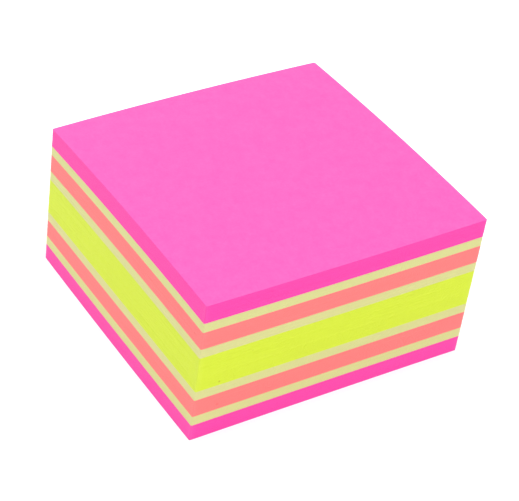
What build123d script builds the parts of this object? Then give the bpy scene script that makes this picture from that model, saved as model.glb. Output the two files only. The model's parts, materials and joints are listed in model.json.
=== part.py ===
from build123d import *
import os

# A free-standing block of square sticky notes in four colours. The notes are trimmed flush on
# all four sides, and each is held to the one below by an adhesive strip on its back.
# A run is a stretch of the block where all the notes have one colour, and it is one solid.
# The sizes are in millimetres. The origin is the centre of the block's square foot, +Z is up,
# and the underside of the backing sheet lies at Z = 0.

# Driving dimensions
NOTE_WIDTH = 76.0           # along X
NOTE_DEPTH = 76.0           # along Y
CORNER_RADIUS = 0.3         # the trimmed corners, softened by handling
NOTE_THICKNESS = 0.1        # one note of about 75 g/m2
BACKING_THICKNESS = 0.1     # the release sheet under the last note's adhesive

# The runs from the bottom up, with the number of notes in each.
# A pale run is about half as thick as a pink or coral one, and the neon run twice as thick.
# Runs are made up by height rather than by count, so like runs differ by a few notes.
RUNS = [
    ("pink_notes_bottom", 46),
    ("pale_notes_first", 27),
    ("coral_notes_lower", 50),
    ("pale_notes_second", 26),
    ("neon_notes_middle", 101),
    ("pale_notes_third", 26),
    ("coral_notes_upper", 49),
    ("pale_notes_fourth", 26),
    ("pink_notes_top", 50),
]


def sheet_stack(foot, height):
    """A stack of trimmed sheets whose underside lies at Z = foot."""
    outline = RectangleRounded(NOTE_WIDTH, NOTE_DEPTH, CORNER_RADIUS)
    return Pos(0, 0, foot) * extrude(outline, height)


def backing_sheet():
    """The one sheet that covers the adhesive of the lowest note."""
    return sheet_stack(0.0, BACKING_THICKNESS)


def note_runs():
    """Each run of notes by name, lying on the backing sheet or on the run below it."""
    runs = {}
    foot = BACKING_THICKNESS
    for name, notes in RUNS:
        height = notes * NOTE_THICKNESS
        runs[name] = sheet_stack(foot, height)
        foot = foot + height
    return runs


def build_block():
    """Every piece of the block by name."""
    pieces = {"backing_sheet": backing_sheet()}
    pieces.update(note_runs())
    return pieces


os.makedirs("parts", exist_ok=True)
for name, piece in build_block().items():
    export_step(piece, f"parts/{name}.step")
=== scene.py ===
import json
import math

import bpy
import numpy as np
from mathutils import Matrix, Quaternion, Vector


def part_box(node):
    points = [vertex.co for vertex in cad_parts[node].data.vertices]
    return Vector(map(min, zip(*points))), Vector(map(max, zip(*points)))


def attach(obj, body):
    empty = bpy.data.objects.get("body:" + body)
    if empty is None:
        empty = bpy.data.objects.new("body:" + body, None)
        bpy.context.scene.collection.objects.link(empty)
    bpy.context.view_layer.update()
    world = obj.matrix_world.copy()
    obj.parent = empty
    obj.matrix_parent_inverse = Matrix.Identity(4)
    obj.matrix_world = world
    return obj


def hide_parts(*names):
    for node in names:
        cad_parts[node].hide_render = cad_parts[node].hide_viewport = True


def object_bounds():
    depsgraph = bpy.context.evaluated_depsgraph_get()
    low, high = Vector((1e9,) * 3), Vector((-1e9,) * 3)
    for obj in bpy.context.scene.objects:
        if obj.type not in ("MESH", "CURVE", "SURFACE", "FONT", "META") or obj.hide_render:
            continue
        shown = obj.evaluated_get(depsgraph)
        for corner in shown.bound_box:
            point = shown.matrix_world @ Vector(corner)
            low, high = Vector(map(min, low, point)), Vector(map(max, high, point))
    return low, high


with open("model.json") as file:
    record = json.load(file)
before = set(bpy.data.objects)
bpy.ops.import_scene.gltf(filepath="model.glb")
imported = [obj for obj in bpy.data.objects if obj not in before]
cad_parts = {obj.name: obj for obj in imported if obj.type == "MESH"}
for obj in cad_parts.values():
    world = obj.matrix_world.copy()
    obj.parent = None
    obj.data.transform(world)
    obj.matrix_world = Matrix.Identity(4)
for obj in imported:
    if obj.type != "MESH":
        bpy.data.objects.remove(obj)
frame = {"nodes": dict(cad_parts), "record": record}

# A cube-style pad of sticky notes. Every run of one colour is a closed mesh whose sides are the
# real cut edges of its notes, one lip and one groove for each note. The top note lies on the
# stack as a sheet of its own. All lengths are in metres.

MM = 0.001
CAD_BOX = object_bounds()
SEED = 4017

# The pad
PAD_LOW, PAD_HIGH = CAD_BOX
HALF_X = (PAD_HIGH.x - PAD_LOW.x) / 2
HALF_Y = (PAD_HIGH.y - PAD_LOW.y) / 2
PAD_HEIGHT = PAD_HIGH.z - PAD_LOW.z
CORNER_RADIUS = 0.3 * MM
NOTE = 0.1 * MM                 # thickness of one note
ALL_NOTES = round(PAD_HEIGHT / NOTE)
TOP_RUN = "pink_notes_top"

# How the stack has settled. It leans a little, and the notes lie looser towards the back right,
# so the top rises there. The middle of each top edge stands above or below its two corners.
LEAN_X, LEAN_Y = 0.0205, -0.0191                    # sideways travel for each unit of height
RISE_RIGHT, RISE_BACK, TWIST = 0.60 * MM, 0.23 * MM, 0.20 * MM
CROWN_FRONT, CROWN_BACK = -0.36 * MM, 0.46 * MM
CROWN_LEFT, CROWN_RIGHT = 1.13 * MM, 0.40 * MM
# The knife left the sides bowed outwards by this much in their middle, or inwards below zero
BOW_FRONT, BOW_BACK = -0.10 * MM, 0.11 * MM
BOW_LEFT, BOW_RIGHT = 0.23 * MM, 0.35 * MM

# The cut edges
SIDE_STEPS = 24                 # stretches along one side of a note
CORNER_STEPS = 4                # stretches round one corner
CAP_RINGS = 14                  # rings of faces between a note's edge and its middle
LIP_SHARE = 0.16                # share of a note's thickness that its rounded cut edge takes
GROOVE_DEPTH = 0.035 * MM       # between two notes, on average
GROOVE_SPREAD = 0.25            # how much the grooves differ, as a share of their depth
RUN_GROOVE = 0.06 * MM          # between two runs
TOP_GROOVE = 0.14 * MM          # under the top note, which lies loosest
SHIFT_SPREAD = 0.007 * MM       # how far single notes stand out of line
DRIFT_SPREAD = 0.018 * MM       # how far groups of notes drift together
DRIFT_LENGTH = 22.0             # notes over which the drift fades
WAVE_SPREAD = 0.003 * MM        # height of each wave that runs round a single note
WAVE_COUNTS = (3, 5, 8, 13)     # waves in one turn round the note
WEAR_HIGHLIGHT_REACH = 0.35 * MM          # how far the wear and painted highlight of a corner run onto the sides


# ---------------------------------------------------------------- shape of the stack

def settled(points):
    """The straight block's points, moved to where the settled stack has them."""
    u = points[:, 0] / HALF_X
    v = points[:, 1] / HALF_Y
    share = points[:, 2] / PAD_HEIGHT
    rise = RISE_RIGHT * u + RISE_BACK * v + TWIST * u * v
    along_x = (1 - u**2) * (CROWN_FRONT * (1 - v) + CROWN_BACK * (1 + v)) / 2
    along_y = (1 - v**2) * (CROWN_LEFT * (1 - u) + CROWN_RIGHT * (1 + u)) / 2
    bow_x = (1 - v**2) * (BOW_RIGHT * (1 + u) - BOW_LEFT * (1 - u)) / 2
    bow_y = (1 - u**2) * (BOW_BACK * (1 + v) - BOW_FRONT * (1 - v)) / 2
    above_middle = points[:, 2] - PAD_HEIGHT / 2
    moved = points.copy()
    moved[:, 0] += LEAN_X * above_middle + bow_x
    moved[:, 1] += LEAN_Y * above_middle + bow_y
    moved[:, 2] += share * (rise + along_x + along_y)
    return moved


def note_outline():
    """Points round one note, anticlockwise, their outward normals and how strongly each place is
    lightened by wear and a painted highlight.
    """
    points, normals, wear_and_highlight = [], [], []
    inner = Vector((HALF_X - CORNER_RADIUS, HALF_Y - CORNER_RADIUS))
    turns = [(1, 1), (-1, 1), (-1, -1), (1, -1)]
    for index, (sx, sy) in enumerate(turns):
        centre = Vector((sx * inner.x, sy * inner.y))
        start = index * math.pi / 2
        for step in range(CORNER_STEPS + 1):
            angle = start + step / CORNER_STEPS * math.pi / 2
            normal = Vector((math.cos(angle), math.sin(angle)))
            points.append(centre + CORNER_RADIUS * normal)
            normals.append(normal)
            wear_and_highlight.append(1.0)
        following = turns[(index + 1) % 4]
        next_centre = Vector((following[0] * inner.x, following[1] * inner.y))
        first = centre + CORNER_RADIUS * normal
        last = next_centre + CORNER_RADIUS * normal
        for step in range(1, SIDE_STEPS):
            share = (1 - math.cos(math.pi * step / SIDE_STEPS)) / 2     # closer near the corners
            point = first.lerp(last, share)
            points.append(point)
            normals.append(normal)
            to_corner = min((point - first).length, (point - last).length)
            wear_and_highlight.append(math.exp(-to_corner / WEAR_HIGHLIGHT_REACH))
    return np.array(points), np.array(normals), np.array(wear_and_highlight)


# Each point's weight for corner wear and a painted highlight, 1 on the corners
OUTLINE, NORMALS, WEAR_AND_HIGHLIGHT = note_outline()
RING = len(OUTLINE)
PER_SIDE = RING // 4            # points in one corner and the side after it
AROUND = np.linspace(0, 2 * math.pi, RING, endpoint=False)
STEP_LENGTHS = np.linalg.norm(np.roll(OUTLINE, -1, axis=0) - OUTLINE, axis=1)
ALONG = np.concatenate([[0], np.cumsum(STEP_LENGTHS)])      # way round the note to each point


def note_offsets(rng):
    """For each note of the pad, how far each point of its outline stands out."""
    keep = math.exp(-1 / DRIFT_LENGTH)
    drift = np.zeros((ALL_NOTES, 2))
    for index in range(1, ALL_NOTES):
        step = rng.normal(0, DRIFT_SPREAD * math.sqrt(1 - keep**2), 2)
        drift[index] = keep * drift[index - 1] + step
    shift = drift + rng.normal(0, SHIFT_SPREAD, (ALL_NOTES, 2))
    out = shift @ NORMALS.T
    for waves in WAVE_COUNTS:
        phase = rng.uniform(0, 2 * math.pi, (ALL_NOTES, 1))
        size = rng.normal(0, WAVE_SPREAD, (ALL_NOTES, 1))
        out += size * np.sin(waves * AROUND[None, :] + phase)
    return out


def groove_depths(rng):
    """How deep the groove is below each note of the pad, and above the last one."""
    depths = GROOVE_DEPTH * np.exp(rng.normal(0, GROOVE_SPREAD, ALL_NOTES + 1))
    for name in frame["nodes"]:
        depths[round(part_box(name)[0].z / NOTE)] = RUN_GROOVE
    depths[ALL_NOTES - 1] = TOP_GROOVE
    return depths


RNG = np.random.default_rng(SEED)
OFFSETS = note_offsets(RNG)
GROOVES = groove_depths(RNG)
NOTE_TONES = RNG.normal(0, 1, ALL_NOTES)


def edge_rows(notes, first_note):
    """The rows of points up the side of some notes: height, and how far out of the outline."""
    rows = []
    lip = LIP_SHARE * NOTE
    for index in range(first_note, first_note + notes):
        base = index * NOTE
        out = OFFSETS[index]
        if index == first_note:
            rows.append((base, out - GROOVES[index]))
        rows.append((base + lip, out))
        rows.append((base + NOTE - lip, out))
        last = index == first_note + notes - 1
        above = out if last else OFFSETS[index + 1]
        rows.append((base + NOTE, np.minimum(out, above) - GROOVES[index + 1]))
    return rows


# ---------------------------------------------------------------- meshes

ROWS_PER_NOTE = 3
MAP_NAME = "OFBake"
MAP_GAP = 0.01                  # between two islands of the map
SHEET_MARGIN = 0.005            # round a sheet's island, as a share of its size


class PieceMesh:
    """The points, faces and map places of a closed stack of notes, gathered side by side."""

    def __init__(self, rows, first_note, cap_share):
        self.rows = rows
        self.first_note = first_note
        self.cap_share = cap_share
        self.points, self.wear_and_highlight = [], []                     # one entry for each ring of points
        self.faces, self.places = [], []
        self.is_cut, self.tone = [], []
        self.rims = []                                      # the ring of points of each row
        self.count = 0
        self.add_sides()
        self.add_cap(0, up=False)
        self.add_cap(len(rows) - 1, up=True)

    def add_points(self, points, wear_and_highlight):
        """New points, and the index of the first."""
        first = self.count
        self.points.append(points)
        self.wear_and_highlight.append(wear_and_highlight)
        self.count += len(points)
        return first

    def add_sides(self):
        """The cut edges, which the map holds as four strips above the caps."""
        for height, out in self.rows:
            flat = OUTLINE + NORMALS * np.reshape(out, (-1, 1))
            ring = np.column_stack([flat, np.full(RING, height)])
            self.add_points(ring, WEAR_AND_HIGHLIGHT)
            self.rims.append(ring)
        for row in range(len(self.rows) - 1):
            low, high = row * RING, (row + 1) * RING
            tone = NOTE_TONES[self.first_note + row // ROWS_PER_NOTE]
            for i in range(RING):
                j = (i + 1) % RING
                self.faces.append((low + i, low + j, high + j, high + i))
                self.places.append(self.strip_places(row, i))
                self.is_cut.append(True)
                self.tone.append(tone)

    def strip_places(self, row, i):
        """Where the map holds the four points of one face of the cut edges."""
        foot = self.rows[0][0]
        height = self.rows[-1][0] - foot
        strip = (1 - self.cap_share) / 4
        side = i // PER_SIDE
        start, end = ALONG[side * PER_SIDE], ALONG[(side + 1) * PER_SIDE]
        left = (ALONG[i] - start) / (end - start)
        right = (ALONG[i + 1] - start) / (end - start)
        bottom = self.cap_share + side * strip + MAP_GAP / 2
        tall = strip - MAP_GAP
        v_low = bottom + (self.rows[row][0] - foot) / height * tall
        v_high = bottom + (self.rows[row + 1][0] - foot) / height * tall
        return [(left, v_low), (right, v_low), (right, v_high), (left, v_high)]

    def cap_place(self, point, up):
        """Where the map holds a point of the upper or lower sheet."""
        side = self.cap_share if up else min(self.cap_share, 1 - self.cap_share - MAP_GAP)
        left = 0 if up else self.cap_share + MAP_GAP
        u = (point[0] / HALF_X + 1) / 2
        v = (point[1] / HALF_Y + 1) / 2
        inside = 1 - 2 * SHEET_MARGIN
        return (left + side * (SHEET_MARGIN + inside * u), side * (SHEET_MARGIN + inside * v))

    def add_cap(self, row, up):
        """The flat sheet that closes one end."""
        rim = self.rims[row]
        outer = list(range(row * RING, (row + 1) * RING))
        outer_ring = rim
        last_note = len(self.rows) // ROWS_PER_NOTE - 1
        tone = NOTE_TONES[self.first_note + min(row // ROWS_PER_NOTE, last_note)]
        for ring in range(1, CAP_RINGS + 1):
            scale = 1 - ring / CAP_RINGS
            inner_ring = rim * np.array([scale, scale, 1])
            if ring == CAP_RINGS:
                centre = self.add_points(inner_ring[:1], np.zeros(1))
                inner = [centre] * RING
            else:
                first = self.add_points(inner_ring, np.zeros(RING))
                inner = list(range(first, first + RING))
            for i in range(RING):
                j = (i + 1) % RING
                face = [outer[i], outer[j], inner[j], inner[i]]
                ends = [outer_ring[i], outer_ring[j], inner_ring[j], inner_ring[i]]
                if ring == CAP_RINGS:
                    face, ends = face[:3], ends[:3]
                if not up:
                    face, ends = face[::-1], ends[::-1]
                self.faces.append(tuple(face))
                self.places.append([self.cap_place(point, up) for point in ends])
                self.is_cut.append(False)
                self.tone.append(tone)
            outer, outer_ring = inner, inner_ring

    def build(self, name):
        """The Blender mesh: material 1 on the cut edges, material 0 on the sheets."""
        mesh = bpy.data.meshes.new(name)
        mesh.from_pydata(settled(np.concatenate(self.points)).tolist(), [], self.faces)
        mesh.polygons.foreach_set("material_index", np.array(self.is_cut, np.int32))
        mesh.polygons.foreach_set("use_smooth", np.ones(len(self.faces), bool))
        self.crease_rows(mesh)
        places = np.array([place for face in self.places for place in face])
        mesh.uv_layers.new(name=MAP_NAME).data.foreach_set("uv", places.ravel())
        mesh.attributes.new("note_tone", "FLOAT", "FACE").data.foreach_set("value", self.tone)
        # How much each point is lightened by corner wear and a painted highlight
        wear_and_highlight = np.concatenate(self.wear_and_highlight)
        mesh.attributes.new("corner_wear_and_highlight", "FLOAT", "POINT").data.foreach_set("value", wear_and_highlight)
        return mesh

    def crease_rows(self, mesh):
        """Every row of the sides is a crease."""
        ends = np.empty(len(mesh.edges) * 2, np.int32)
        mesh.edges.foreach_get("vertices", ends)
        ends = ends.reshape(-1, 2)
        on_sides = (ends < len(self.rows) * RING).all(1)
        same_row = ends[:, 0] // RING == ends[:, 1] // RING
        mesh.edges.foreach_set("use_edge_sharp", on_sides & same_row)


# ---------------------------------------------------------------- paper

WHITE = (1, 1, 1, 1)
NOISE_MIDDLE = 0.5              # the value that a noise keeps around
COLOUR_INPUTS = (6, 7)          # the mix node's sockets for colours, which share their names
COLOUR_OUTPUT = 2               # with those for numbers

# Sizes of the patterns, in turns of the noise for each metre
CLOUD_SCALE = 380.0             # cloudy formation, about 3 mm across
FIBRE_SCALE = 1900.0            # fibres, about half a millimetre
BLADE_SCALE = 900.0             # marks of the guillotine's blade, about 1 mm apart
BLADE_STRETCH = 0.06            # their scale down the cut edge, as a share of that along it
SPECK_SCALE = 110.0             # one fleck in each 9 mm or so of the paper's bulk
SPECK_SIZE = 0.035              # a fleck's radius, as a share of that distance
SPOT_CORE = 0.3                 # share of a spot's radius that has its full stain
FIBRE_RELIEF = 0.6              # relief of the fibres, as a share of the clouds' or blade marks'
SHEEN_ROUGHNESS = 0.6

# How far each pattern changes the tone of a sheet's face
CLOUD_SPREAD = 0.10
FIBRE_SPREAD = 0.08
SPECK_DEPTH = 0.05
PAINTED_SHEEN_FADE = 0.06                # how far the raised places are faded to white, a painted sheen

# And the tone of a cut edge
CUT_BLADE_SPREAD = 0.03
CUT_FIBRE_SPREAD = 0.05
CUT_NOTE_SPREAD = 0.002         # from one note to the next
CUT_SPECK_DEPTH = 0.10
WEAR_AND_HIGHLIGHT_FADE = 0.025             # how far a corner is faded to white, partly wear and partly a painted highlight


class Shading:
    """Short names for the shader nodes of one material."""

    def __init__(self, material):
        material.use_nodes = True
        self.tree = material.node_tree
        self.shader = self.tree.nodes["Principled BSDF"]
        self.place = self.tree.nodes.new("ShaderNodeTexCoord").outputs["Object"]

    def link(self, source, socket):
        self.tree.links.new(source, socket)

    def noise(self, scale, detail, roughness=0.5, stretch=(1, 1, 1)):
        """Soft noise round its middle, over the object's own coordinates."""
        mapping = self.tree.nodes.new("ShaderNodeMapping")
        mapping.inputs["Scale"].default_value = stretch
        self.link(self.place, mapping.inputs["Vector"])
        made = self.tree.nodes.new("ShaderNodeTexNoise")
        made.inputs["Scale"].default_value = scale
        made.inputs["Detail"].default_value = detail
        made.inputs["Roughness"].default_value = roughness
        self.link(mapping.outputs["Vector"], made.inputs["Vector"])
        return made.outputs["Fac"]

    def attribute(self, name):
        """The value that the mesh holds under this name."""
        made = self.tree.nodes.new("ShaderNodeAttribute")
        made.attribute_name = name
        return made.outputs["Fac"]

    def maths(self, operation, *values):
        """One step of arithmetic with numbers or other nodes' values."""
        made = self.tree.nodes.new("ShaderNodeMath")
        made.operation = operation
        for socket, value in zip(made.inputs, values):
            if isinstance(value, bpy.types.NodeSocket):
                self.link(value, socket)
            else:
                socket.default_value = value
        return made.outputs[0]

    def around_one(self, value, middle, spread):
        """1 where the value has its middle, and as much more or less as the spread says."""
        return self.maths("MULTIPLY_ADD", value, spread, 1 - spread * middle)

    def spot(self, distance, radius):
        """1 in a spot's core, fading to 0 at its radius."""
        made = self.tree.nodes.new("ShaderNodeMapRange")
        made.interpolation_type = "SMOOTHSTEP"
        self.link(distance, made.inputs["Value"])
        ends = {"From Min": SPOT_CORE * radius, "From Max": radius, "To Min": 1, "To Max": 0}
        for name, value in ends.items():
            made.inputs[name].default_value = value
        return made.outputs["Result"]

    def distance_to(self, point):
        """How far the shaded place is from a point of the pad."""
        made = self.tree.nodes.new("ShaderNodeVectorMath")
        made.operation = "DISTANCE"
        self.link(self.place, made.inputs[0])
        made.inputs[1].default_value = point
        return made.outputs["Value"]

    def flecks(self):
        """1 on the darker flecks in the paper, and 0 elsewhere."""
        made = self.tree.nodes.new("ShaderNodeTexVoronoi")
        made.inputs["Scale"].default_value = SPECK_SCALE
        self.link(self.place, made.inputs["Vector"])
        return self.spot(made.outputs["Distance"], SPECK_SIZE)

    def mix(self, kind, factor, first, second):
        """One colour blended over another."""
        made = self.tree.nodes.new("ShaderNodeMix")
        made.data_type = "RGBA"
        made.blend_type = kind
        sockets = [made.inputs["Factor"], *[made.inputs[index] for index in COLOUR_INPUTS]]
        for socket, value in zip(sockets, (factor, first, second)):
            if isinstance(value, bpy.types.NodeSocket):
                self.link(value, socket)
            else:
                socket.default_value = value
        return made.outputs[COLOUR_OUTPUT]

    def bump(self, height, strength, distance):
        """Fine relief, which tilts the shaded normals."""
        made = self.tree.nodes.new("ShaderNodeBump")
        made.inputs["Strength"].default_value = strength
        made.inputs["Distance"].default_value = distance
        self.link(height, made.inputs["Height"])
        self.link(made.outputs["Normal"], self.shader.inputs["Normal"])


def new_paper(name, roughness, specular, sheen):
    """A material with the gloss of uncoated paper, and its shading."""
    material = bpy.data.materials.new(name)
    shading = Shading(material)
    gloss = {
        "Roughness": roughness,
        "Specular IOR Level": specular,
        "Sheen Weight": sheen,
        "Sheen Roughness": SHEEN_ROUGHNESS,
    }
    for socket, value in gloss.items():
        shading.shader.inputs[socket].default_value = value
    return material, shading


def sheet_paper(name, colour):
    """The face of a note: cloudy formation, fibres, a fine felt grain and a painted sheen on the
    raised places.
    """
    material, shading = new_paper(name, roughness=0.68, specular=0.45, sheen=0.1)
    clouds = shading.noise(CLOUD_SCALE, detail=4.0, roughness=0.8)
    fibres = shading.noise(FIBRE_SCALE, detail=2.0)
    tone = shading.around_one(clouds, NOISE_MIDDLE, CLOUD_SPREAD)
    fibre_tone = shading.around_one(fibres, NOISE_MIDDLE, FIBRE_SPREAD)
    tone = shading.maths("MULTIPLY", tone, fibre_tone)
    tone = shading.maths("MULTIPLY", tone, shading.around_one(shading.flecks(), 0, -SPECK_DEPTH))
    base = shading.mix("MULTIPLY", 1.0, (*colour, 1), tone)
    relief = shading.maths("MULTIPLY_ADD", fibres, FIBRE_RELIEF, clouds)
    # Painted sheen: the face is faded to white where its relief stands higher
    painted_sheen = shading.maths("MULTIPLY", relief, PAINTED_SHEEN_FADE)
    base = shading.mix("MIX", painted_sheen, base, WHITE)
    shading.link(base, shading.shader.inputs["Base Color"])
    shading.bump(relief, strength=0.22, distance=0.04 * MM)
    return material


def cut_paper(name, colour, waste):
    """The cut edges of a run: blade marks across the notes, which differ a little in tone, and
    corners lightened by wear and a painted highlight.
    """
    material, shading = new_paper(name, roughness=0.8, specular=0.45, sheen=0.2)
    blade = shading.noise(BLADE_SCALE, detail=3.0, stretch=(1, 1, BLADE_STRETCH))
    fibres = shading.noise(FIBRE_SCALE, detail=2.0)
    notes = shading.attribute("note_tone")
    tone = shading.around_one(blade, NOISE_MIDDLE, CUT_BLADE_SPREAD)
    fibre_tone = shading.around_one(fibres, NOISE_MIDDLE, CUT_FIBRE_SPREAD)
    tone = shading.maths("MULTIPLY", tone, fibre_tone)
    tone = shading.maths("MULTIPLY", tone, shading.around_one(notes, 0, CUT_NOTE_SPREAD))
    tone = shading.maths("MULTIPLY", tone, shading.around_one(shading.flecks(), 0, -CUT_SPECK_DEPTH))
    base = shading.mix("MULTIPLY", 1.0, (*colour, 1), tone)
    # Corners faded to white: partly wear, partly a painted highlight where the rounded edge catches
    # the light
    worn_and_lit = shading.maths("MULTIPLY", shading.attribute("corner_wear_and_highlight"), WEAR_AND_HIGHLIGHT_FADE)
    base = shading.mix("MIX", worn_and_lit, base, WHITE)
    for x, height, radius, stain in waste:
        place = settled(np.array([[x, -HALF_Y, height]]))[0]
        spot = shading.spot(shading.distance_to(place), radius)
        base = shading.mix("MULTIPLY", spot, base, (*stain, 1))
    shading.link(base, shading.shader.inputs["Base Color"])
    relief = shading.maths("MULTIPLY_ADD", fibres, FIBRE_RELIEF, blade)
    shading.bump(relief, strength=0.15, distance=0.03 * MM)
    return material


# The colour of a sheet's face, and of its cut edges, which look deeper
COLOURS = {
    "backing_paper": ((0.82, 0.81, 0.77), (0.80, 0.79, 0.74)),
    "pink_paper": ((0.93, 0.035, 0.378), (0.93, 0.030, 0.40)),
    "pale_yellow_paper": ((0.72, 0.73, 0.34), (0.67, 0.665, 0.275)),
    "coral_paper": ((0.93, 0.22, 0.22), (0.93, 0.192, 0.190)),
    "neon_yellow_paper": ((0.69, 0.83, 0.06), (0.653, 0.783, 0.009)),
}
# Bits of waste fibre that show on the front side: place along it, height, radius, stain
WASTE = {
    "neon_yellow_paper": [(-31.9 * MM, 16.1 * MM, 0.38 * MM, (0.80, 0.66, 0.30))],
    "coral_paper": [(-31.7 * MM, 9.0 * MM, 0.50 * MM, (0.97, 0.82, 0.80))],
}


def paper_pair(slot):
    """The two materials of a paper."""
    face, cut = COLOURS[slot]
    return [sheet_paper(slot + "_face", face), cut_paper(slot + "_cut", cut, WASTE.get(slot, []))]


# ---------------------------------------------------------------- the pieces

SLOT_OF = {row["node"]: row["material_slot"] for row in frame["record"]["subparts"]}
PAPERS = {slot: paper_pair(slot) for slot in COLOURS}
RUN_CAP_SHARE = 0.4             # of the map's side, for the sheet at each end of a run
TOP_CAP_SHARE = 0.7             # and for the top note, whose face shows


def add_piece(name, first_note, notes, slot, cap_share):
    """Some notes as one piece of the pad, in their paper."""
    mesh = PieceMesh(edge_rows(notes, first_note), first_note, cap_share).build(name)
    for material in PAPERS[slot]:
        mesh.materials.append(material)
    piece = bpy.data.objects.new(name, mesh)
    bpy.context.scene.collection.objects.link(piece)
    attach(piece, "root")
    return piece


def add_run(name):
    """The notes of one colour, in place of their CAD solid."""
    low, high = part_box(name)
    first = round(low.z / NOTE)
    notes = round((high.z - low.z) / NOTE)
    if name == TOP_RUN:
        notes -= 1
    piece = add_piece(name + "_stack", first, notes, SLOT_OF[name], RUN_CAP_SHARE)
    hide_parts(name)


for run in sorted(frame["nodes"], key=lambda name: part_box(name)[0].z):
    add_run(run)
add_piece("top_note", ALL_NOTES - 1, 1, SLOT_OF[TOP_RUN], TOP_CAP_SHARE)


# ---------------------------------------------------------------- floor, light and camera

FLOOR_SIZE = 12.0
FLOOR_COLOUR = (0.95, 0.95, 0.95, 1)
FLOOR_ROUGHNESS = 0.9
FLOOR_GLOW = 0.12               # the table top is lit from below as well, so it stays white
WORLD_STRENGTH = 0.71


def add_floor():
    """A plain pale table top."""
    half = FLOOR_SIZE / 2
    corners = [(-half, -half, 0), (half, -half, 0), (half, half, 0), (-half, half, 0)]
    mesh = bpy.data.meshes.new("floor")
    mesh.from_pydata(corners, [], [(0, 1, 2, 3)])
    floor = bpy.data.objects.new("floor", mesh)
    bpy.context.scene.collection.objects.link(floor)
    material = bpy.data.materials.new("floor")
    material.use_nodes = True
    shader = material.node_tree.nodes["Principled BSDF"]
    shader.inputs["Base Color"].default_value = FLOOR_COLOUR
    shader.inputs["Roughness"].default_value = FLOOR_ROUGHNESS
    shader.inputs["Emission Color"].default_value = WHITE
    shader.inputs["Emission Strength"].default_value = FLOOR_GLOW
    mesh.materials.append(material)


def add_softbox(name, place, size, power):
    """A square area light that points at the pad."""
    data = bpy.data.lights.new(name, "AREA")
    data.shape = "SQUARE"
    data.size = size
    data.energy = power
    lamp = bpy.data.objects.new(name, data)
    bpy.context.scene.collection.objects.link(lamp)
    lamp.location = place
    aim = Vector((0, 0, PAD_HEIGHT / 2))
    lamp.rotation_mode = "QUATERNION"
    lamp.rotation_quaternion = (aim - Vector(place)).to_track_quat("-Z", "Y")


def set_world():
    """White studio surroundings."""
    world = bpy.data.worlds.new("studio")
    world.use_nodes = True
    background = world.node_tree.nodes["Background"]
    background.inputs["Color"].default_value = WHITE
    background.inputs["Strength"].default_value = WORLD_STRENGTH
    bpy.context.scene.world = world


# The camera looks at the middle of the pad from its front left, tipped a little to one side.
CAMERA_AZIMUTH = -34.945        # degrees round the pad: 0 looks along +Y
CAMERA_ELEVATION = 36.437       # degrees above the table
CAMERA_ROLL = 6.47              # degrees about its own line of sight
CAMERA_DISTANCE = 423.0 * MM
CAMERA_AIM = Vector((0.055 * MM, -1.89 * MM, 18.05 * MM))
CAMERA_LENS = 119.23            # focal length and sensor width, in millimetres
CAMERA_SENSOR = 36.0
NEAREST_SEEN, FARTHEST_SEEN = 0.01, 20.0


def add_camera():
    """The camera, from the angles and the distance above."""
    data = bpy.data.cameras.new("camera")
    data.lens = CAMERA_LENS
    data.sensor_width = CAMERA_SENSOR
    data.clip_start = NEAREST_SEEN
    data.clip_end = FARTHEST_SEEN
    camera = bpy.data.objects.new("camera", data)
    bpy.context.scene.collection.objects.link(camera)
    azimuth, elevation = math.radians(CAMERA_AZIMUTH), math.radians(CAMERA_ELEVATION)
    flat = math.cos(elevation)
    back = Vector((math.sin(azimuth) * flat, -math.cos(azimuth) * flat, math.sin(elevation)))
    camera.location = CAMERA_AIM + CAMERA_DISTANCE * back
    level = (-back).to_track_quat("-Z", "Y")
    camera.rotation_mode = "QUATERNION"
    camera.rotation_quaternion = level @ Quaternion((0, 0, 1), math.radians(CAMERA_ROLL))
    bpy.context.scene.camera = camera


add_floor()
set_world()
add_softbox("key", place=(-0.05, -0.48, 1.12), size=0.7, power=7.7)
add_softbox("back", place=(-0.22, 0.80, 0.84), size=0.5, power=4.8)
add_camera()
bpy.context.scene.view_settings.view_transform = "Standard"
